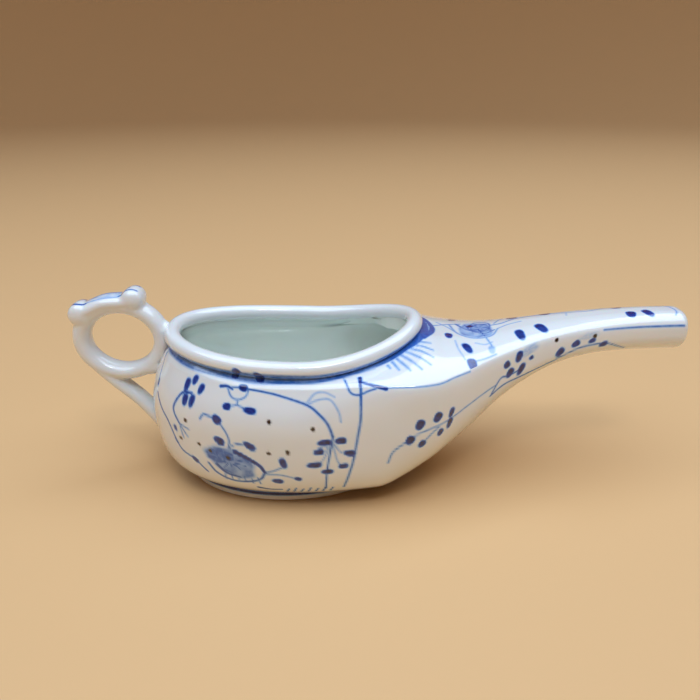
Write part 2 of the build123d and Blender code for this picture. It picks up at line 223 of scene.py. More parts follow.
turnTable = np.linspace(0, 2 * math.pi, 2881)
mouthLine = mouthPoint(turnTable, 0.0)
mouthRun = np.concatenate([[0.0], np.cumsum(np.linalg.norm(np.diff(mouthLine, axis=0), axis=1))])


def mouthGap(x, y):  # how far a place lies outside the roll's middle line, seen from above
    back = mouth["centerX"] - mouth["backX"]
    front = mouth["frontX"] - mouth["centerX"]
    ahead = x >= mouth["centerX"]
    reach = np.where(ahead, front, back)
    power = np.where(ahead, 2.0, mouth["backRoundness"])
    dx, dy = np.abs(x - mouth["centerX"]) / reach, np.abs(y) / mouth["halfWidth"]
    level = (dx ** power + dy ** power) ** (1 / power)
    slope = np.hypot(dx ** (power - 1) / reach, dy ** (power - 1) / mouth["halfWidth"])
    slope = slope / np.maximum(level, 1e-6) ** (power - 1)
    return (level - 1) / np.maximum(slope, 1e-6)


# Cobalt brushwork under the glaze. A canvas is two distances in mm and the colour laid there, 0 to 1.
brush = {"soft": 0.46, "steps": 6, "thick": 1.3, "strong": 1.22}


def newCanvas(a, b):
    return {"a": a, "b": b, "cobalt": np.zeros_like(a), "iron": np.zeros_like(a)}


def lay(canvas, near, cover, layer="cobalt"):
    canvas[layer][near] = np.maximum(canvas[layer][near], cover)


def curve(points):  # smooth line through the points
    points = np.array(points, float)
    if len(points) == 2:
        return points
    padded = np.concatenate([[2 * points[0] - points[1]], points, [2 * points[-1] - points[-2]]])
    line = []
    for i in range(len(points) - 1):
        p, q, r, s = padded[i:i + 4]
        for t in np.arange(brush["steps"]) / brush["steps"]:
            line.append(0.5 * (2 * q + (r - p) * t + (2 * p - 5 * q + 4 * r - s) * t * t
                               + (3 * q - p - 3 * r + s) * t ** 3))
    return np.array(line + [points[-1]])


def stroke(canvas, points, width, tone, tip=1.0):  # width in mm at the start, tip its share at the end
    line = curve(points)
    width, tone = max(0.5, width * brush["thick"]), min(1.0, tone * brush["strong"])
    for i in range(len(line) - 1):
        p, q = line[i], line[i + 1]
        room = width / 2 + brush["soft"]
        near = ((canvas["a"] > min(p[0], q[0]) - room) & (canvas["a"] < max(p[0], q[0]) + room)
                & (canvas["b"] > min(p[1], q[1]) - room) & (canvas["b"] < max(p[1], q[1]) + room))
        a, b = canvas["a"][near], canvas["b"][near]
        span = q - p
        t = np.clip(((a - p[0]) * span[0] + (b - p[1]) * span[1]) / max(span @ span, 1e-9), 0, 1)
        away = np.hypot(a - p[0] - t * span[0], b - p[1] - t * span[1])
        share = (i + t) / (len(line) - 1)
        half = np.maximum(width / 2 * (1 + (tip - 1) * share), 0.24)
        lay(canvas, near, tone * np.clip(0.5 - (away - half) / brush["soft"], 0, 1))


def dab(canvas, a, b, length, width, lean, tone=0.95, layer="cobalt"):  # a drop shape, lean in degrees
    near = (np.abs(canvas["a"] - a) < length) & (np.abs(canvas["b"] - b) < length)
    c, s = math.cos(math.radians(lean)), math.sin(math.radians(lean))
    da, db = canvas["a"][near] - a, canvas["b"][near] - b
    run, side = (da * c + db * s) / (length * 0.54), (db * c - da * s) / (width * 0.62)
    side = side / (1 + 0.14 * np.clip(run, -1, 1))
    away = ((np.abs(run) ** 2.5 + np.abs(side) ** 2.5) ** 0.4 - 1) * width * 0.62
    lay(canvas, near, tone * np.clip(0.5 - away / brush["soft"], 0, 1) * (0.93 + 0.07 * run), layer)


def wash(canvas, a, b, length, width, lean, tone, wobble=0.07):  # a thin flat wash with a darker edge
    near = (np.abs(canvas["a"] - a) < length) & (np.abs(canvas["b"] - b) < length)
    c, s = math.cos(math.radians(lean)), math.sin(math.radians(lean))
    da, db = canvas["a"][near] - a, canvas["b"][near] - b
    run, side = (da * c + db * s) / (length / 2), (db * c - da * s) / (width / 2)
    turn = np.arctan2(side, run)
    level = np.hypot(run, side) * (1 + wobble * np.sin(3 * turn + 1) + 0.5 * wobble * np.sin(7 * turn))
    edge = np.exp(-((level - 0.88) / 0.14) ** 2)
    cover = np.clip(0.5 - (level - 1) * width / 2 / 1.1, 0, 1)
    lay(canvas, near, cover * (tone + 0.1 * edge + 0.06 * np.sin(5 * turn + 4 * level)))


def dabs(canvas, rows, tone=0.95):  # each row is a, b, length, width and lean
    for row in rows:
        dab(canvas, *row, tone)


# The painted side, in mm along the side from the middle of the back and up the skin from the crease.
sidePainting = {
    "sprigByHandle": [(26.1, -2.4, 3.7, 1.6, 88), (28.4, -0.4, 2.7, 1.5, 80), (31.3, -2.4, 3.0, 1.5, 76),
                      (26.8, -6.6, 3.4, 1.6, 90), (29.2, -6.4, 3.6, 1.5, 84), (23.7, -16.4, 1.8, 1.0, 110)],
    "sprigUnderBand": [(40.5, 3.4, 2.1, 1.8, 20), (48.6, 3.3, 2.9, 1.8, -24), (44.3, 0.2, 2.6, 1.6, -10),
                       (40.4, -5.5, 2.2, 1.6, 5), (47.1, -5.8, 3.4, 1.5, -6)],
    "berrySprig": [(67.6, -14.8, 3.5, 1.5, 2), (72.1, -14.6, 2.9, 1.6, -2), (66.0, -17.6, 2.6, 1.6, 12),
                   (74.6, -18.8, 3.1, 1.5, -10), (64.7, -21.8, 3.8, 1.5, 2), (72.8, -22.9, 2.5, 1.3, 6),
                   (68.3, -24.4, 3.0, 1.3, -2)],
    "leaves": [(37.9, -9.6, 2.8, 1.9, -38), (38.6, -15.9, 3.0, 1.9, -28), (47.2, -16.1, 3.4, 1.6, -32),
               (56.2, -21.1, 3.2, 1.5, 106), (54.2, -27.6, 2.9, 1.4, -4), (60.0, -26.5, 1.9, 1.1, -14),
               (29.5, -24.7, 2.4, 1.3, -36)],
    "berryBranch": [(91.4, -16.1, 2.7, 1.9, 60), (94.1, -11.5, 3.0, 2.0, 64), (99.4, -10.1, 2.9, 2.0, 56),
                    (104.2, -10.3, 2.8, 1.4, 70), (103.7, -13.4, 3.1, 1.4, 68), (94.9, -17.8, 2.4, 1.5, 50),
                    (100.5, -15.2, 2.2, 1.4, 58)],
    "sprigUnderSpout": [(124.3, -3.6, 2.0, 1.8, 30), (128.4, -2.6, 3.0, 1.8, 74), (132.6, -4.3, 1.3, 1.0, 20),
                        (125.6, -6.6, 2.8, 1.8, 50), (129.4, -6.8, 3.5, 1.6, 60)],
    "lastSprig": [(141.8, -5.3, 2.8, 1.7, 46), (146.5, -3.7, 2.4, 1.5, 26), (151.4, -3.6, 2.0, 1.1, 16),
                  (155.0, -5.3, 2.4, 1.3, 20)],
    "pinholes": [(27.8, -12.5), (25.4, -19.0), (32.0, -18.7), (35.4, -19.9), (52.7, -8.5), (52.4, -18.0),
                 (57.5, -17.5), (40.7, -21.0), (140.4, -1.2), (152.1, -2.3), (3.0, -3.9), (64.5, -10.5)],
}


def paintSide(canvas):
    # the handle end
    stroke(canvas, [(9.4, 2.2), (10.9, -1.7), (12.3, -6.6)], 0.36, 0.5)
    dab(canvas, 12.4, -6.6, 2.2, 0.9, 100, 0.9)
    dabs(canvas, sidePainting["sprigByHandle"], 0.86)
    stroke(canvas, [(28.6, -4.2), (25.4, -4.9), (23.1, -9.2), (23.4, -11.6), (25.6, -14.4)], 0.55, 0.62, 0.8)
    for tipA, tipB in ((29.0, -15.0), (28.4, -17.6), (26.6, -18.4)):
        stroke(canvas, [(23.5, -11.8), (25.4, -14.0), (tipA, tipB)], 0.32, 0.42, 0.6)
    stroke(canvas, [(13.6, -9.4), (17.0, -12.6), (20.4, -15.3), (22.4, -18.7), (23.2, -21.0)], 0.5, 0.72, 0.7)
    stroke(canvas, [(22.4, -18.7), (25.0, -23.0), (29.5, -24.7), (33.0, -28.0)], 0.45, 0.6)
    # the sprig hanging from the band
    dabs(canvas, sidePainting["sprigUnderBand"], 0.92)
    stroke(canvas, [(37.4, -0.3), (39.4, 0.0), (41.2, -0.6)], 0.7, 0.6, 0.6)
    stroke(canvas, [(40.8, -0.1), (43.6, 0.2)], 0.4, 0.4)
    stroke(canvas, [(39.7, -0.5), (41.2, -2.6), (43.3, -3.2), (45.4, -2.2), (46.1, -0.2)], 0.36, 0.44)
    stroke(canvas, [(43.3, -3.2), (43.2, -4.6), (41.2, -5.2)], 0.34, 0.42)
    stroke(canvas, [(43.2, -4.6), (45.8, -5.4)], 0.34, 0.42)
    # the long tendril with its curls
    stroke(canvas, [(45.4, 0.0), (50.4, -0.4), (55.5, -1.3), (62.9, -3.7), (66.7, -6.9), (68.7, -9.6), (70.0, -13.2)],
           0.42, 0.5, 1.5)
    stroke(canvas, [(62.8, -3.4), (65.1, -0.8), (67.8, -0.6), (70.5, -2.0)], 0.55, 0.24, 0.6)
    stroke(canvas, [(63.2, -3.6), (66.0, -2.5), (69.3, -2.7), (71.6, -6.1), (72.2, -9.0)], 0.36, 0.3, 0.6)
    dabs(canvas, sidePainting["berrySprig"], 1.0)
    stroke(canvas, [(70.0, -13.2), (69.2, -18.0), (68.2, -24.4), (67.8, -31.4)], 0.44, 0.56, 0.8)
    for row in sidePainting["berrySprig"][2:6]:
        stroke(canvas, [(69.8, -14.6), (0.5 * (69.6 + row[0]), 0.7 * row[1] - 5.0), (row[0], row[1])], 0.3, 0.3)
    # the panel line and the hook under the rim
    stroke(canvas, [(77.4, 3.4), (77.6, -1.0), (77.6, -8.2), (76.9, -13.3), (75.4, -22.2), (72.9, -31.4)], 0.62, 0.5, 0.75)
    stroke(canvas, [(77.4, 3.6), (77.5, 0.4)], 0.95, 0.72, 0.6)
    stroke(canvas, [(73.1, 3.4), (74.7, -0.9), (77.1, -1.8), (79.6, -0.9), (81.6, -0.3)], 0.42, 0.5)
    stroke(canvas, [(77.6, 1.8), (81.0, 0.6), (84.4, -0.3)], 0.5, 0.66, 1.8)
    # the star flower low on the side, a wash thinned to the right with dark brush lines over it
    wash(canvas, 41.4, -22.6, 15.0, 9.0, -22, 0.4)
    wash(canvas, 37.4, -21.0, 6.4, 5.4, 10, 0.54)
    wash(canvas, 40.6, -20.4, 4.6, 3.4, -20, 0.58)
    dab(canvas, 40.8, -21.2, 1.6, 1.2, 0, 0.8)
    stroke(canvas, [(43.0, -18.6), (46.6, -20.4), (49.6, -22.4), (50.9, -24.6)], 1.1, 0.72, 0.6)
    stroke(canvas, [(50.9, -24.6), (49.4, -27.2), (45.6, -28.8), (40.6, -29.2), (36.4, -27.4), (34.2, -24.4)], 0.6, 0.5)
    stroke(canvas, [(37.0, -24.2), (39.6, -26.6), (43.4, -27.4)], 0.9, 0.6, 0.5)
    for turn in (200, 240, 275, 310, 345, 20):
        c, d = math.cos(math.radians(turn)), math.sin(math.radians(turn))
        stroke(canvas, [(41.2 + 1.6 * c, -22.2 + 1.1 * d), (41.2 + 4.6 * c, -22.2 + 3.1 * d)], 0.6, 0.5, 0.5)
    for i in range(6):
        stroke(canvas, [(39.0 + 1.9 * i, -26.8), (38.6 + 2.1 * i, -29.2)], 0.4, 0.45, 0.5)
    dabs(canvas, sidePainting["leaves"], 0.95)
    stroke(canvas, [(32.8, -10.6), (33.8, -9.0), (36.0, -9.2)], 0.45, 0.5)
    stroke(canvas, [(38.4, -9.8), (40.7, -12.8), (41.6, -15.4), (41.0, -18.2)], 0.4, 0.46)
    stroke(canvas, [(41.0, -18.2), (43.4, -16.0), (46.0, -16.0)], 0.36, 0.44)
    stroke(canvas, [(50.6, -24.7), (53.4, -23.8), (56.0, -22.4)], 0.36, 0.46)
    stroke(canvas, [(50.8, -25.2), (55.2, -25.2), (59.6, -26.4)], 0.32, 0.4)
    for i in range(7):  # short strokes over the foot line
        stroke(canvas, [(56.4 + 2.1 * i, -33.0), (57.2 + 2.1 * i, -31.2 + 0.5 * (i % 2))], 0.5, 0.6, 0.4)
    stroke(canvas, [(48.0, -31.2), (51.5, -31.8), (55.0, -31.6)], 0.6, 0.7, 0.5)
    # the branch of berries in front of the panel line
    dabs(canvas, sidePainting["berryBranch"], 1.0)
    stroke(canvas, [(85.4, -23.0), (86.6, -19.6), (89.6, -17.0), (93.0, -14.6), (99.0, -12.8), (104.6, -12.0),
                    (110.0, -10.6), (116.0, -9.4), (121.0, -8.6)], 0.42, 0.42, 0.8)
    stroke(canvas, [(94.9, -17.8), (97.6, -15.0), (100.2, -13.0)], 0.34, 0.4)
    # the underside of the spout
    dabs(canvas, sidePainting["sprigUnderSpout"], 0.97)
    wash(canvas, 131.6, -1.8, 6.0, 2.6, 16, 0.2)
    stroke(canvas, [(119.3, -11.2), (120.2, -9.8), (122.6, -7.0), (125.4, -7.4), (129.4, -6.6)], 0.42, 0.52)
    stroke(canvas, [(119.0, -11.4), (124.0, -9.6), (131.0, -9.2), (138.0, -8.4), (143.4, -6.6), (149.0, -5.0),
                    (156.0, -5.2), (162.0, -8.0)], 0.46, 0.5, 0.6)
    dabs(canvas, sidePainting["lastSprig"], 0.95)
    wash(canvas, 150.4, -2.0, 5.0, 1.6, 8, 0.16)
    # thin lines along the crease
    stroke(canvas, [(81.4, -0.1), (92.0, -0.1), (99.5, -0.3), (105.3, -0.2), (110.5, -0.4)], 0.4, 0.34, 0.6)
    stroke(canvas, [(154.8, -0.9), (166.0, -1.2), (178.4, -1.3)], 0.42, 0.42, 1.3)
    for a, b in sidePainting["pinholes"]:
        dab(canvas, a, b, 0.95, 0.85, 0, 1.6, "iron")


# The cover and the top of the spout, in mm along and across.
deckPainting = {
    "near": [(21.1, -4.6, 3.4, 1.8, 84), (25.7, -11.2, 4.4, 1.9, 108), (26.2, -17.6, 3.4, 2.2, 96),
             (41.7, -6.7, 4.8, 2.0, 98), (48.2, -4.9, 4.8, 2.1, 112), (74.8, -2.6, 3.3, 2.3, 78),
             (79.9, -2.4, 4.0, 2.0, 112)],
    "far": [(42.0, 6.8, 3.0, 2.4, 10), (51.7, 5.6, 3.0, 2.3, 12), (72.5, 3.9, 2.8, 2.2, 8), (84.5, 4.0, 2.6, 2.0, 8),
            (24.2, 11.4, 3.6, 1.9, 62), (30.5, 13.4, 3.2, 1.8, 70)],
    "faint": [(32.6, -12.0, 3.0, 1.6, 84), (36.0, 9.6, 2.6, 1.5, 84)],
}


def paintDeck(canvas):
    dabs(canvas, deckPainting["near"], 0.9)
    dabs(canvas, deckPainting["far"], 0.9)
    dabs(canvas, deckPainting["faint"], 0.34)
    # the star flower on the cover, a curled wash with brush lines round its heart
    wash(canvas, 29.6, -0.2, 9.6, 12.0, 20, 0.3)
    wash(canvas, 31.4, 1.2, 6.4, 7.4, 0, 0.42)
    dab(canvas, 28.5, 3.2, 2.2, 1.6, 30, 0.95)
    stroke(canvas, [(24.6, 5.4), (26.6, 1.6), (30.2, -1.4), (33.8, 0.4), (34.2, 4.6), (31.0, 6.4), (28.4, 4.0)], 0.8, 0.42, 0.6)
    stroke(canvas, [(27.2, 4.6), (28.6, -0.6), (32.0, -3.2), (35.2, -1.4)], 0.7, 0.42, 0.7)
    stroke(canvas, [(22.4, 4.4), (24.0, -2.4), (28.4, -5.8), (33.6, -5.2), (36.2, -1.0)], 0.6, 0.34, 0.7)
    stroke(canvas, [(30.6, 0.4), (31.6, -4.8)], 0.6, 0.5, 0.5)
    stroke(canvas, [(28.6, 1.4), (28.4, -4.2)], 0.5, 0.4, 0.5)
    stroke(canvas, [(16.6, 1.6), (19.4, 3.4), (22.6, 4.8), (26.0, 5.6)], 0.44, 0.4)
    stroke(canvas, [(18.6, 5.6), (21.6, 2.0), (23.4, -1.4)], 0.4, 0.34)
    stroke(canvas, [(34.6, 2.4), (38.2, 2.8), (42.0, 4.6), (46.6, 5.4), (54.0, 4.4)], 0.6, 0.36, 0.7)
    stroke(canvas, [(36.0, -1.0), (39.4, 0.8), (43.6, 1.6)], 0.4, 0.3)
    stroke(canvas, [(22.6, -7.6), (23.0, -12.0), (24.4, -16.4)], 0.36, 0.26)
    stroke(canvas, [(31.6, -4.8), (32.4, -8.4), (33.0, -11.0)], 0.44, 0.34)
    stroke(canvas, [(28.4, -8.6), (31.0, -9.6), (33.2, -8.6)], 0.4, 0.24)
    stroke(canvas, [(36.0, 3.6), (38.6, 7.0), (41.6, 7.4)], 0.4, 0.36)
    for side in (-1, 1):
        stroke(canvas, [(26.0, side * 17.0), (30.0, side * 15.4), (33.6, side * 13.6)], 0.36, 0.3)
    stroke(canvas, [(54.0, 4.4), (60.0, 3.0), (64.0, 2.4), (70.0, 4.0), (78.0, 4.2), (84.0, 4.4)], 0.36, 0.34, 0.8)
    stroke(canvas, [(57.0, 1.0), (57.6, 3.6)], 0.4, 0.2)
    stroke(canvas, [(86.2, 3.8), (88.0, 0.6), (88.2, -2.4), (87.4, -4.0)], 0.34, 0.34)
    stroke(canvas, [(13.0, -8.6), (15.6, -4.6), (16.6, -0.6), (16.0, 3.4), (14.4, 7.4)], 1.5, 0.54, 0.8)


def paintRimBand(canvas, x, y):  # the band just outside the roll, wider at the front, and the dot where it starts
    gap = mouthGap(x, y)
    wide = 1.85 + 0.6 * np.clip((x + 58) / 26, 0, 1) + 0.8 * np.clip((x + 12) / 22, 0, 1) ** 1.4 + 1.2 * np.clip((x - 8) / 4, 0, 1)
    wide += 0.12 * np.sin(x / 3.1)
    tone = 0.5 + 0.07 * np.sin(x / 5.1 + 0.5) ** 2 + 0.12 * np.clip((x - 5) / 6, 0, 1)
    tone = tone - 0.13 * np.clip((1.7 - gap) / 0.8, 0, 1)  # painted light: the band is paler in the groove under the roll, where the roll shades it
    started = np.clip((np.abs(y) - 3.6) / 0.5, 0, 1) * (x < -40) + (x >= -40)
    lay(canvas, slice(None), tone * started * np.clip(0.5 - (gap - wide) / 0.5, 0, 1))
    start = np.hypot((x + 62.6) / 1.5, (np.abs(y) - 4.6) / 1.4)
    lay(canvas, slice(None), 0.98 * np.clip(0.5 - (start - 1) / 0.3, 0, 1) * (mouthGap(x, y) > 0))


hairEnds = [(3.0, -21.2), (5.4, -22.2), (8.4, -22.8), (11.6, -22.4), (14.2, -20.4), (15.2, -17.4), (15.4, -14.4),
            (15.0, -11.2)]


def paintHairFan(canvas, side):  # hairs from the front of the band out over the cover
    for i, (x, y) in enumerate(hairEnds):
        share = i / (len(hairEnds) - 1)
        start = (2.4 + 9.2 * share, -20.0 + 8.6 * share)
        stroke(canvas, [(start[0], -side * start[1]), (x, -side * y)], 0.8, 0.34, 0.6)


foot = {"centerX": -27.6, "halfLength": 32.0, "halfWidth": 23.1, "width": 4.0, "round": 0.7, "top": 4.4}


def paintFootLine(canvas, x, y, z):
    reach = np.hypot((x - foot["centerX"]) / foot["halfLength"], y / foot["halfWidth"])
    gap = (reach - 1) * 0.5 * (foot["halfLength"] + foot["halfWidth"])
    line = np.clip(0.5 - (np.abs(gap - 0.75) - 0.62) / 0.45, 0, 1)
    lay(canvas, slice(None), 0.93 * line * (z < 12))


def paintSkin(point, u, mark, deck):  # all the painting of the outer skin
    x, y, z = point.T
    near = newCanvas(lengthOf(u), heightOf(u, mark))
    far = newCanvas(near["a"] + 0.9 * np.sin(near["a"] / 17), near["b"] + 0.4 * np.cos(near["a"] / 11))
    paintSide(near)
    paintSide(far)
    side = {name: np.where(y <= 0, near[name], far[name]) for name in ("cobalt", "iron")}
    top = newCanvas(x, y)
    top["cobalt"] = side["cobalt"]
    top["iron"] = side["iron"]
    if deck:
        shown = newCanvas(x, y)
        paintDeck(shown)
        for turn in (-1, 1):
            paintHairFan(shown, turn)
        lay(top, slice(None), shown["cobalt"] * (near["b"] > 0.2))
    paintRimBand(top, x, y)
    paintFootLine(top, x, y, z)
    return top


# Sheets: a grid for each patch of skin, laid on the shape and welded.
def pottedPiece(name, patches):
    bm = bmesh.new()
    for k, patch in enumerate(patches):
        bmesh.ops.create_grid(bm, x_segments=patch["columns"], y_segments=patch["rows"], size=1,
                              matrix=Matrix.Translation((0, 0, k)))
    mesh = bpy.data.meshes.new(name)
    bm.to_mesh(mesh)
    bm.free()
    count = len(mesh.vertices)
    flat = np.empty(count * 3)
    mesh.vertices.foreach_get("co", flat)
    flat = flat.reshape(-1, 3)
    layers = {"point": np.zeros((count, 3)), "normal": np.zeros((count, 3)), "cobalt": np.zeros(count),
              "iron": np.zeros(count), "keep": np.ones(count)}
    for k, patch in enumerate(patches):
        here = np.rint(flat[:, 2]) == k
        laid = patch["place"]((flat[here, 0] + 1) / 2, (flat[here, 1] + 1) / 2)
        for key, values in laid.items():
            layers[key][here] = values
    mesh.vertices.foreach_set("co", (layers["point"] * mm).ravel())
    for key in ("cobalt", "iron", "keep"):
        mesh.attributes.new(key, "FLOAT", "POINT").data.foreach_set("value", layers[key])
    mesh.attributes.new("facing", "FLOAT_VECTOR", "POINT").data.foreach_set("vector", layers["normal"].ravel())
    bm = bmesh.new()
    bm.from_mesh(mesh)
    keep, facing = bm.verts.layers.float["keep"], bm.verts.layers.float_vector["facing"]
    bmesh.ops.delete(bm, geom=[v for v in bm.verts if v[keep] < 0.5], context="VERTS")
    bmesh.ops.remove_doubles(bm, verts=bm.verts, dist=0.002 * mm)
    bm.normal_update()
    wrong = [f for f in bm.faces if f.normal.dot(sum((v[facing] for v in f.verts), Vector())) < 0]
    bmesh.ops.reverse_faces(bm, faces=wrong)
    bm.to_mesh(mesh)
    bm.free()
    normals = np.empty(len(mesh.vertices) * 3)
    mesh.attributes["facing"].data.foreach_get("vector", normals)
    mesh.polygons.foreach_set("use_smooth", [True] * len(mesh.polygons))
    mesh.normals_split_custom_set_from_vertices(normals.reshape(-1, 3).tolist())
    for key in ("facing", "keep"):
        mesh.attributes.remove(mesh.attributes[key])
    piece = bpy.data.objects.new(name, mesh)
    bpy.context.scene.collection.objects.link(piece)
    print("made", name, len(mesh.polygons), "faces")
    return piece


def bothSides(point, normal, side):
    flip = np.stack([np.ones_like(side), -side, np.ones_like(side)], -1)
    return point * flip, normal * flip


def aroundBack(a, reach):  # a from 0 to 1 runs from the near front round the back to the far front
    run = np.abs(2 * a - 1) * lengthOf(np.array(uOf(reach)))
    return np.interp(run, sTable, uTable), np.where(a < 0.5, 1.0, -1.0)


def skinPatch(columns, rows, reach, marks, deck=False):
    def place(a, b):
        u, side = aroundBack(a, reach)
        mark = along(marks, b)
        point = hullPoint(u, mark, 0.0)
        normal = hullNormal(u, mark, 0.0, (-1, uOf(hull["lipX"])))
        point, normal = bothSides(point, normal, side)
        laid = paintSkin(point, u, mark, deck)
        return {"point": point, "normal": normal, "cobalt": laid["cobalt"], "iron": laid["iron"]}
    return {"columns": columns, "rows": rows, "place": place}


def coverPatch(columns, rows):
    def place(a, b):
        u = uOf(hull["coverX"]) + a * (hull["spoutX"] - hull["coverX"])
        side = np.where(b < 0.5, 1.0, -1.0)
        mark = along([(0, 2), (0.72, 3), (1, 4)], 1 - np.abs(2 * b - 1))
        point = hullPoint(u, mark, 0.0)
        normal = hullNormal(u, mark, 0.0, (-1, uOf(hull["lipX"])))
        point, normal = bothSides(point, normal, side)
        laid = paintSkin(point, u, mark, True)
        keep = mouthGap(point[:, 0], point[:, 1]) > -1.0
        return {"point": point, "normal": normal, "cobalt": laid["cobalt"], "iron": laid["iron"], "keep": keep}
    return {"columns": columns, "rows": rows, "place": place}


lip = {"start": hull["lipX"] - hull["lipLength"], "share": 0.86, "dome": 1.3}


def spoutPatch(columns, rows):
    def place(a, b):
        side = np.where(b < 0.5, 1.0, -1.0)
        mark = 4 * (1 - np.abs(2 * b - 1))
        turn = np.clip((a - lip["share"]) / (1 - lip["share"]), 0, 1) * math.pi

        def at(mark, turn):
            tube = np.minimum(a / lip["share"], 1)
            x = hull["spoutX"] + tube * (lip["start"] - hull["spoutX"])
            inset = hull["spoutWall"] * (1 - np.cos(turn)) / 2
            point = hullPoint(uOf(x), mark, inset)
            off = np.hypot(point[:, 1], point[:, 2] - along(hull["wide"], np.array(hull["lipX"])))
            dome = lip["dome"] * np.clip(off / along(hull["width"], np.array(hull["lipX"])), 0, 1) ** 2
            point[:, 0] += np.sin(turn) ** 0.7 * (hull["lipLength"] - dome)
            return point
        point = at(mark, turn)
        normal = hullNormal(uOf(np.minimum(point[:, 0], lip["start"])), mark, 0.0, (-1, uOf(hull["lipX"])))
        step = 0.02
        rise = at(np.minimum(mark + step, 4), turn) - at(np.maximum(mark - step, 0), turn)
        run = at(mark, np.minimum(turn + step, math.pi)) - at(mark, np.maximum(turn - step, 0))
        bent = np.cross(rise, run)
        bent /= np.maximum(np.linalg.norm(bent, axis=1, keepdims=True), 1e-9)
        ahead = np.where((bent[:, 0] < 0)[:, None], -bent, bent)
        onLip = np.clip(turn / 0.25, 0, 1)[:, None]
        normal = normal * (1 - onLip) + ahead * onLip
        painted = newCanvas(point[:, 0], point[:, 1])
        point, normal = bothSides(point, normal, side)
        u = uOf(np.minimum(point[:, 0], hull["lipX"]))
        painted = paintSkin(point, u, mark, True)
        shown = turn < 1.2
        return {"point": point, "normal": normal, "cobalt": painted["cobalt"] * shown,
                "iron": painted["iron"] * shown}
    return {"columns": columns, "rows": rows, "place": place}


def liningInset(u, mark):  # the wall, thinned under the roll so that the lining runs up into it
    thinned = np.clip(mark - 2, 0, 1) ** 2 * np.clip((uOf(11.0) - u) / 3, 0, 1)
    return wallAt(u) + (1.1 - wallAt(u)) * thinned


def liningPatch(columns, rows, reach, marks):  # the inside, drawn in by the wall
    def place(a, b):
        u, side = aroundBack(a, reach)
        mark = along(marks, b)
        inset = liningInset(u, mark)
        point = hullPoint(u, mark, inset)
        normal = -hullNormal(u, mark, inset, (-1, uOf(hull["lipX"])))
        point, normal = bothSides(point, normal, side)
        return {"point": point, "normal": normal}
    return {"columns": columns, "rows": rows, "place": place}


def underCoverPatch(columns, rows):
    def place(a, b):
        u = uOf(hull["coverX"]) + a * (hull["spoutX"] - hull["coverX"])
        side = np.where(b < 0.5, 1.0, -1.0)
        mark = along([(0, 2), (0.72, 3), (1, 4)], 1 - np.abs(2 * b - 1))
        inset = liningInset(u, mark)
        point = hullPoint(u, mark, inset)
        normal = -hullNormal(u, mark, inset, (-1, uOf(hull["lipX"])))
        point, normal = bothSides(point, normal, side)
        return {"point": point, "normal": normal,
                "keep": mouthGap(point[:, 0], point[:, 1]) > -mouth["inside"] - 0.1}
    return {"columns": columns, "rows": rows, "place": place}


def borePatch(columns, rows):
    def place(a, b):
        x = hull["spoutX"] + a * (lip["start"] + 0.4 - hull["spoutX"])
        side = np.where(b < 0.5, 1.0, -1.0)
        mark = 4 * (1 - np.abs(2 * b - 1))
        inset = wallAt(uOf(x))
        point = hullPoint(uOf(x), mark, inset)
        normal = -hullNormal(uOf(x), mark, inset, (-1, uOf(hull["lipX"])))
        point, normal = bothSides(point, normal, side)
        return {"point": point, "normal": normal}
    return {"columns": columns, "rows": rows, "place": place}


def collarPatch(columns, rows):  # the inside edge from the lining up into the roll
    def place(a, b):
        turn = np.interp(a * mouthRun[-1], mouthRun, turnTable)
        flare = 3.6 * (1 - np.clip((mouthPoint(turn, mouth["inside"])[:, 0] + 2) / 6, 0, 1))
        point = mouthPoint(turn, mouth["inside"] + 0.1 - flare * (1 - b))
        deep = 4.9
        point[:, 2] += -deep + b * (deep - 0.9)
        ahead = mouthPoint(turn + 0.01, mouth["inside"]) - mouthPoint(turn - 0.01, mouth["inside"])
        normal = np.stack([-ahead[:, 1], ahead[:, 0], 0 * a], -1)
        normal /= np.linalg.norm(normal, axis=1, keepdims=True)
        inward = np.array([mouth["centerX"], 0, 0]) - point * [1, 1, 0]
        normal *= np.sign(np.sum(normal * inward, 1, keepdims=True))
        lean = np.arctan2(flare, deep)
        normal = normal * np.cos(lean)[:, None] - np.array([0, 0, 1.0]) * np.sin(lean)[:, None]
        return {"point": point, "normal": normal}
    return {"columns": columns, "rows": rows, "place": place}


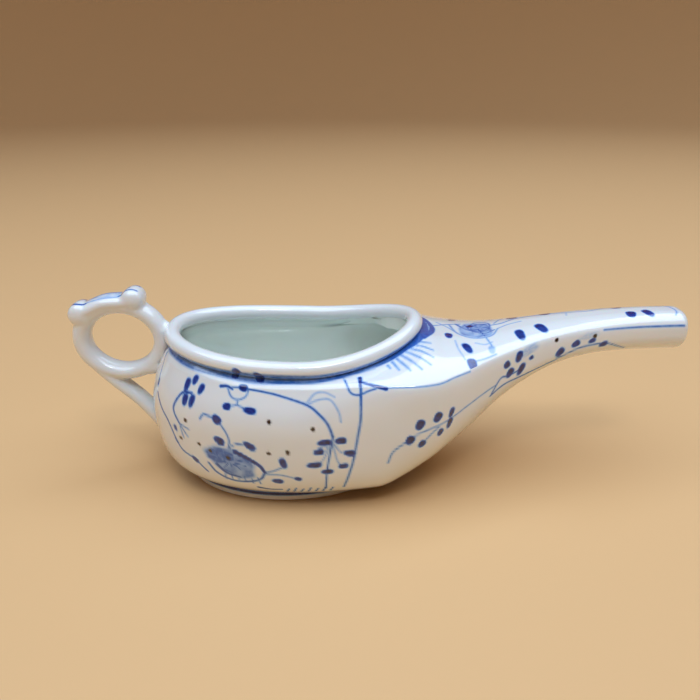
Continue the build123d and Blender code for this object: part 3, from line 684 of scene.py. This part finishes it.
def rollPatch(columns, rows):  # the rolled rim
    def place(a, b):
        turn = np.interp(a * mouthRun[-1], mouthRun, turnTable)
        center = mouthPoint(turn, 0.0)
        ahead = mouthPoint(turn + 0.01, 0.0) - mouthPoint(turn - 0.01, 0.0)
        ahead /= np.linalg.norm(ahead, axis=1, keepdims=True)
        out = np.cross(ahead, [0, 0, 1.0])
        out /= np.linalg.norm(out, axis=1, keepdims=True)
        out *= np.sign(np.sum(out * (center - [mouth["centerX"], 0, 0]) * [1, 1, 0], 1, keepdims=True))
        up = np.cross(out, ahead)
        up *= np.sign(up[:, 2:])
        around = 2 * math.pi * b
        normal = out * np.cos(around)[:, None] + up * np.sin(around)[:, None]
        flat = 1 - 0.13 * np.clip(-np.sin(around), 0, 1) * (np.cos(around) < 0)
        point = center + mouth["radius"] * normal * np.stack([flat * 0 + 1, flat * 0 + 1, flat], -1)
        below = np.degrees(np.where(around > math.pi, around - 2 * math.pi, around))
        painted = newCanvas(point[:, 0], np.radians(below) * mouth["radius"])
        started = np.clip((np.abs(point[:, 1]) - 3.6) / 0.5, 0, 1) * (point[:, 0] < -40) + (point[:, 0] >= -40)
        tone = 0.5 + 0.07 * np.sin(point[:, 0] / 5.1 + 0.5) ** 2 + 0.12 * np.clip((point[:, 0] - 5) / 6, 0, 1)
        # painted light: the band is paler on the roll's underside, where it lies in shade
        tone = tone - 0.13 * np.clip((-30 - below) / 20, 0, 1)
        edge = -11 + 4 * np.sin(point[:, 0] / 6)
        painted["cobalt"] = tone * started * np.clip(0.5 - (below - edge) / 12, 0, 1) * (below > -120)
        start = np.hypot((point[:, 0] + 62.6) / 1.5, (np.abs(point[:, 1]) - 4.6) / 1.4)
        lay(painted, slice(None), 0.98 * np.clip(0.5 - (start - 1) / 0.3, 0, 1) * (below < 10) * (below > -120))
        dab(painted, -39.1, -0.75, 2.3, 1.9, -40, 0.94)
        dab(painted, -32.9, -1.25, 3.2, 1.7, -26, 0.94)
        return {"point": point, "normal": normal, "cobalt": painted["cobalt"]}
    return {"columns": columns, "rows": rows, "place": place}


def footPatch(columns, rows):
    profile = [(0, (0.0, foot["top"])), (0.3, (0.0, foot["round"])), (0.36, (0.2, 0.2)), (0.42, (foot["round"], 0.0)),
               (0.58, (foot["width"] - foot["round"], 0.0)), (0.64, (foot["width"] - 0.2, 0.2)),
               (0.7, (foot["width"], foot["round"])), (1, (foot["width"], foot["top"]))]

    def place(a, b):
        turn = 2 * math.pi * a
        drawn = np.interp(b, [row[0] for row in profile], [row[1][0] for row in profile])
        z = np.interp(b, [row[0] for row in profile], [row[1][1] for row in profile])
        point = np.stack([foot["centerX"] + (foot["halfLength"] - drawn) * np.cos(turn),
                          -(foot["halfWidth"] - drawn) * np.sin(turn), z], -1)
        out = np.stack([np.cos(turn) / foot["halfLength"], -np.sin(turn) / foot["halfWidth"], 0 * a], -1)
        out /= np.linalg.norm(out, axis=1, keepdims=True)
        slope = np.clip((b - 0.3) / 0.12, 0, 1) * math.pi / 2 + np.clip((b - 0.58) / 0.12, 0, 1) * math.pi / 2
        normal = out * np.cos(slope)[:, None] - np.array([0, 0, 1.0]) * np.sin(slope)[:, None]
        painted = newCanvas(a, b)
        line = np.clip(0.5 - (np.abs(z - 2.5) - 0.55) / 0.4, 0, 1) * (b < 0.3)
        lay(painted, slice(None), 0.93 * line)
        return {"point": point, "normal": normal, "cobalt": painted["cobalt"]}
    return {"columns": columns, "rows": rows, "place": place}


density = 1.0


def fine(count):
    return max(4, int(count * density))


lowMarks = [(0, 0), (0.23, 0.45), (0.69, 1.0), (1, 2)]
bowl = pottedPiece("bowlSkin", [skinPatch(fine(640), fine(124), hull["spoutX"], lowMarks),
                                skinPatch(fine(388), fine(16), hull["coverX"], [(0, 2), (1, 3)], True)])
cover = pottedPiece("coverSkin", [coverPatch(fine(164), fine(172))])
spout = pottedPiece("spoutSkin", [spoutPatch(fine(170), fine(140))])
lining = pottedPiece("lining", [liningPatch(fine(300), fine(64), hull["spoutX"], [(0, 0), (1, 2)]),
                                liningPatch(fine(180), fine(10), hull["coverX"], [(0, 2), (1, 3)]),
                                underCoverPatch(fine(70), fine(72)), borePatch(fine(56), fine(72)),
                                collarPatch(fine(260), 4)])
roll = pottedPiece("rolledRim", [rollPatch(fine(460), fine(44))])
footRing = pottedPiece("footRing", [footPatch(fine(340), fine(34))])


# The handle: clay pulled by hand and luted on, so its pieces run into each other.
handle = {
    "ringX": -77.1, "ringZ": 43.0, "ringLength": 12.1, "ringHeight": 10.7, "bar": 2.6, "depth": 3.7,
    "backKnob": (-88.2, 51.1, 3.65), "frontKnob": (-72.1, 55.75, 3.45),
    "plate": [(-88.0, 51.4), (-85.2, 52.7), (-80.6, 54.6), (-75.8, 55.0), (-72.6, 55.5)],
    "root": [(-71.2, 33.7), (-69.0, 33.6), (-66.4, 34.6)],
    "strut": [(-87.2, 36.6), (-84.2, 33.0), (-79.9, 28.6), (-73.4, 22.3), (-67.6, 14.6), (-64.0, 7.0)],
    "voxel": 0.36,
}


def ball(bm, unit, x, z, radius, depth, tall=None, y=0.0):
    laid = unit.copy()
    laid.transform(Matrix.Translation((x * mm, y * mm, z * mm))
                   @ Matrix.Diagonal((radius * mm, depth * mm, (tall or radius) * mm, 1)))
    bm.from_mesh(laid)
    bpy.data.meshes.remove(laid)


def chain(bm, unit, points, radiusAt, depthAt):  # overlapping balls along a smooth line
    line = curve(points)
    run = np.concatenate([[0.0], np.cumsum(np.linalg.norm(np.diff(line, axis=0), axis=1))])
    for share in np.linspace(0, 1, max(4, int(run[-1] / 0.6))):
        x, z = (np.interp(share * run[-1], run, line[:, i]) for i in (0, 1))
        ball(bm, unit, x, z, radiusAt(share), depthAt(share))


def makeHandle():
    bm = bmesh.new()
    bmesh.ops.create_uvsphere(bm, u_segments=28, v_segments=18, radius=1)
    unit = bpy.data.meshes.new("ball")
    bm.to_mesh(unit)
    bm.clear()
    for i in range(120):
        turn = 2 * math.pi * i / 120
        thick = handle["bar"] + 0.2 * max(0.0, -math.cos(turn))
        ball(bm, unit, handle["ringX"] + handle["ringLength"] * math.cos(turn),
             handle["ringZ"] + handle["ringHeight"] * math.sin(turn), thick, handle["depth"])
    for x, z, radius in (handle["backKnob"], handle["frontKnob"]):
        for i in range(-5, 6):
            ball(bm, unit, x, z, radius - 0.008 * i * i, 2.1, y=0.46 * i)
    chain(bm, unit, handle["plate"], lambda share: 2.35, lambda share: 4.3)
    chain(bm, unit, handle["strut"], lambda share: 2.2 + 0.5 * share ** 6, lambda share: 3.4 + 0.6 * share ** 4)
    chain(bm, unit, handle["root"], lambda share: 2.3, lambda share: 3.6)
    ball(bm, unit, -64.0, 41.6, 3.4, 4.0, 7.0)
    mesh = bpy.data.meshes.new("handleClay")
    bm.to_mesh(mesh)
    bm.free()
    clay = bpy.data.objects.new("handleClay", mesh)
    bpy.context.scene.collection.objects.link(clay)
    clay.modifiers.new("Remesh", "REMESH").mode = "VOXEL"
    clay.modifiers["Remesh"].voxel_size = handle["voxel"] * mm
    soften = clay.modifiers.new("Smooth", "SMOOTH")
    soften.factor = 0.5
    soften.iterations = 14
    done = bpy.data.meshes.new_from_object(clay.evaluated_get(bpy.context.evaluated_depsgraph_get()))
    bpy.data.objects.remove(clay)
    done.name = "handle"
    done.polygons.foreach_set("use_smooth", [True] * len(done.polygons))
    flat = np.empty(len(done.vertices) * 3)
    done.vertices.foreach_get("co", flat)
    x, y, z = (flat.reshape(-1, 3) / mm).T
    painted = newCanvas(x, y)
    wash(painted, -79.6, 0.0, 9.0, 5.6, 0, 0.14)
    for side in (-1, 1):
        stroke(painted, [(-85.4, side * 1.9), (-82.4, side * 2.5), (-79.0, side * 2.6), (-75.4, side * 2.4)], 0.4, 0.3)
        stroke(painted, [(-75.8, side * 2.2), (-73.6, side * 2.0), (-70.4, side * 1.9)], 0.5, 0.6, 0.7)
        stroke(painted, [(-90.2, side * 1.5), (-88.2, side * 2.2), (-85.8, side * 2.0)], 0.6, 0.66, 0.8)
    stroke(painted, [(-86.0, 0.0), (-79.0, 0.4), (-73.0, 0.0)], 0.5, 0.44)
    painted["cobalt"] *= np.clip((z - 52.6) / 0.6, 0, 1)
    for name in ("cobalt", "iron"):
        done.attributes.new(name, "FLOAT", "POINT").data.foreach_set("value", painted[name])
    piece = bpy.data.objects.new("handle", done)
    bpy.context.scene.collection.objects.link(piece)
    print("made handle", len(done.polygons), "faces")
    return piece


handlePiece = makeHandle()


# Finishes. Colours are sRGB hex, turned to linear here.
def linear(code):
    parts = [int(code[i:i + 2], 16) / 255 for i in (1, 3, 5)]
    return tuple(p / 12.92 if p <= 0.04045 else ((p + 0.055) / 1.055) ** 2.4 for p in parts) + (1.0,)


def addNode(tree, kind, settings=None, links=None, **values):
    node = tree.nodes.new(kind)
    for key, value in values.items():
        setattr(node, key, value)
    for key, value in (settings or {}).items():
        node.inputs[key].default_value = value
    for key, source in (links or {}).items():
        tree.links.new(source, node.inputs[key])
    return node


porcelain = {
    "white": "#E9EFF3", "pale": "#A4C6F0", "cobalt": "#3C72C4", "deep": "#0E3A98", "navy": "#050E4E",
    "inside": "#EEF5EE", "iron": "#2A160C", "bare": "#D9CFC0", "roughness": 0.16, "ior": 1.5,
    "brushGrain": 1.4, "glazeWave": 16.0, "glazeRipple": 2.2,
}


def glazedPorcelain(name, white):  # clear glaze fired over hard white clay: a soft body under a wet gloss
    material = bpy.data.materials.new(name)
    material.use_nodes = True
    tree = material.node_tree
    tree.nodes.clear()
    place = addNode(tree, "ShaderNodeTexCoord").outputs["Object"]
    cobalt = addNode(tree, "ShaderNodeAttribute", attribute_name="cobalt").outputs["Fac"]
    iron = addNode(tree, "ShaderNodeAttribute", attribute_name="iron").outputs["Fac"]
    # brush hairs and pooled pigment, about a millimetre across
    grain = addNode(tree, "ShaderNodeTexNoise", {"Scale": 1000 / porcelain["brushGrain"], "Detail": 3.0},
                    {"Vector": place}).outputs["Fac"]
    vary = addNode(tree, "ShaderNodeMapRange", {"From Min": 0.3, "From Max": 0.7, "To Min": 0.88, "To Max": 1.08},
                   {"Value": grain}).outputs["Result"]
    laid = addNode(tree, "ShaderNodeMath", None, {0: cobalt, 1: vary}, operation="MULTIPLY").outputs["Value"]
    ramp = addNode(tree, "ShaderNodeValToRGB", None, {"Fac": laid})
    stops = [(0.0, white), (0.28, porcelain["pale"]), (0.54, porcelain["cobalt"]), (0.78, porcelain["deep"]),
             (0.96, porcelain["navy"])]
    while len(ramp.color_ramp.elements) < len(stops):
        ramp.color_ramp.elements.new(0.5)
    for element, (spot, code) in zip(ramp.color_ramp.elements, stops):
        element.position = spot
        element.color = linear(code)
    # the clay's own faint cloudiness, centimetres across
    cloud = addNode(tree, "ShaderNodeTexNoise", {"Scale": 1000 / 30.0, "Detail": 2.0}, {"Vector": place}).outputs["Fac"]
    tint = addNode(tree, "ShaderNodeMapRange", {"From Min": 0.3, "From Max": 0.7, "To Min": 0.0, "To Max": 0.16},
                   {"Value": cloud}).outputs["Result"]
    clouded = addNode(tree, "ShaderNodeMix", {"B": linear("#D3DDE4")}, data_type="RGBA", blend_type="MULTIPLY")
    clouded.inputs[7].default_value = linear("#D3DDE4")
    tree.links.new(tint, clouded.inputs[0])
    tree.links.new(ramp.outputs["Color"], clouded.inputs[6])
    # iron specks burnt out of the clay
    speckled = addNode(tree, "ShaderNodeMix", data_type="RGBA")
    tree.links.new(iron, speckled.inputs[0])
    tree.links.new(clouded.outputs[2], speckled.inputs[6])
    speckled.inputs[7].default_value = linear(porcelain["iron"])
    # glaze that lies slightly uneven
    wave = addNode(tree, "ShaderNodeTexNoise", {"Scale": 1000 / porcelain["glazeWave"], "Detail": 1.0},
                   {"Vector": place}).outputs["Fac"]
    ripple = addNode(tree, "ShaderNodeTexNoise", {"Scale": 1000 / porcelain["glazeRipple"], "Detail": 1.0},
                     {"Vector": place}).outputs["Fac"]
    waved = addNode(tree, "ShaderNodeBump", {"Strength": 0.5, "Distance": 0.35 * mm}, {"Height": wave})
    rippled = addNode(tree, "ShaderNodeBump", {"Strength": 0.2, "Distance": 0.03 * mm},
                      {"Height": ripple, "Normal": waved.outputs["Normal"]})
    shader = addNode(tree, "ShaderNodeBsdfPrincipled",
                     {"Roughness": porcelain["roughness"], "IOR": porcelain["ior"], "Subsurface Weight": 0.12,
                      "Subsurface Scale": 1.2 * mm, "Coat Weight": 1.0, "Coat Roughness": 0.03, "Coat IOR": 1.5},
                     {"Base Color": speckled.outputs[2], "Normal": rippled.outputs["Normal"]})
    addNode(tree, "ShaderNodeOutputMaterial", None, {"Surface": shader.outputs["BSDF"]})
    return material


outsideGlaze = glazedPorcelain("glazedPorcelain", porcelain["white"])
insideGlaze = glazedPorcelain("glazedPorcelainInside", porcelain["inside"])

bareClay = glazedPorcelain("unglazedPorcelain", porcelain["bare"])
bareShader = next(n for n in bareClay.node_tree.nodes if n.type == "BSDF_PRINCIPLED")
bareShader.inputs["Coat Weight"].default_value = 0.0
bareShader.inputs["Roughness"].default_value = 0.6

for piece, slot, nodes in ((bowl, "bowl", ["bowl"]), (cover, "cover", ["cover"]), (spout, "spout", ["spout"]),
                           (roll, "rim_bead", ["rim_bead"]), (footRing, "foot_ring", ["foot_ring"]),
                           (handlePiece, "handle_ring", ["handle_ring", "thumb_rest", "handle_strut"]),
                           (lining, "bowl", [])):
    piece.data.materials.append(insideGlaze if piece is lining else outsideGlaze)
    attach(piece, "root")
    if nodes:
        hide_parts(*nodes)

footRing.data.materials.append(bareClay)  # the ring was wiped clean of glaze where it stood in the kiln
for face in footRing.data.polygons:
    face.material_index = 1 if face.center.z < 0.25 * mm else 0

# Floor, light and camera.
stageLook = {"floor": "#DDB583", "halfWidth": 3.6, "wallAt": 1.3, "bend": 0.8, "world": 0.16}


def makeStage():
    bm = bmesh.new()
    half, reach, bend = stageLook["halfWidth"], stageLook["wallAt"], stageLook["bend"]
    bmesh.ops.create_grid(bm, x_segments=80, y_segments=80, size=half)
    for v in bm.verts:  # the sheet curls up into a wall all round
        away = math.hypot(v.co.x, v.co.y)
        past = away - reach
        if past > 0:
            turn = min(past / bend, math.pi / 2)
            v.co.z = bend * (1 - math.cos(turn)) + max(past - bend * math.pi / 2, 0)
            v.co.xy *= (reach + bend * math.sin(turn)) / away
    mesh = bpy.data.meshes.new("paleFloor")
    bm.to_mesh(mesh)
    bm.free()
    floor = bpy.data.objects.new("paleFloor", mesh)
    bpy.context.scene.collection.objects.link(floor)
    material = bpy.data.materials.new("mattPaper")
    material.use_nodes = True
    shader = material.node_tree.nodes["Principled BSDF"]
    shader.inputs["Base Color"].default_value = linear(stageLook["floor"])
    shader.inputs["Roughness"].default_value = 0.7
    mesh.materials.append(material)
    mesh.polygons.foreach_set("use_smooth", [True] * len(mesh.polygons))


def softLight(name, place, target, size, power, colour):
    light = bpy.data.lights.new(name, "AREA")
    light.shape = "RECTANGLE"
    light.size, light.size_y = size
    light.energy = power
    light.color = linear(colour)[:3]
    lamp = bpy.data.objects.new(name, light)
    lamp.location = place
    lamp.rotation_euler = (Vector(target) - Vector(place)).to_track_quat("-Z", "Y").to_euler()
    bpy.context.scene.collection.objects.link(lamp)


camera = {"place": (-8.1, -191.0, 121.4), "tilt": 23.35, "lens": 34.97, "sensor": 36.0}


def makeCamera():
    data = bpy.data.cameras.new("camera")
    data.lens = camera["lens"]
    data.sensor_width = camera["sensor"]
    data.clip_start = 0.01
    eye = bpy.data.objects.new("camera", data)
    eye.location = [v * mm for v in camera["place"]]
    eye.rotation_euler = (math.radians(90 - camera["tilt"]), 0, 0)
    bpy.context.scene.collection.objects.link(eye)
    bpy.context.scene.camera = eye


makeStage()
softLight("skylight", (0.05, -0.10, 1.05), (0, 0, 0.03), (2.0, 1.1), 19.6, "#DAECFF")
softLight("window", (0.12, -0.55, 0.92), (0, 0, 0.04), (0.30, 0.14), 1.2, "#FFFFFF")
bpy.context.scene.view_settings.view_transform = "Standard"
world = bpy.data.worlds.new("studio")
world.use_nodes = True
world.node_tree.nodes["Background"].inputs["Color"].default_value = linear("#FFEBD2")
world.node_tree.nodes["Background"].inputs["Strength"].default_value = stageLook["world"]
bpy.context.scene.world = world
makeCamera()
print("stage, light and camera set")
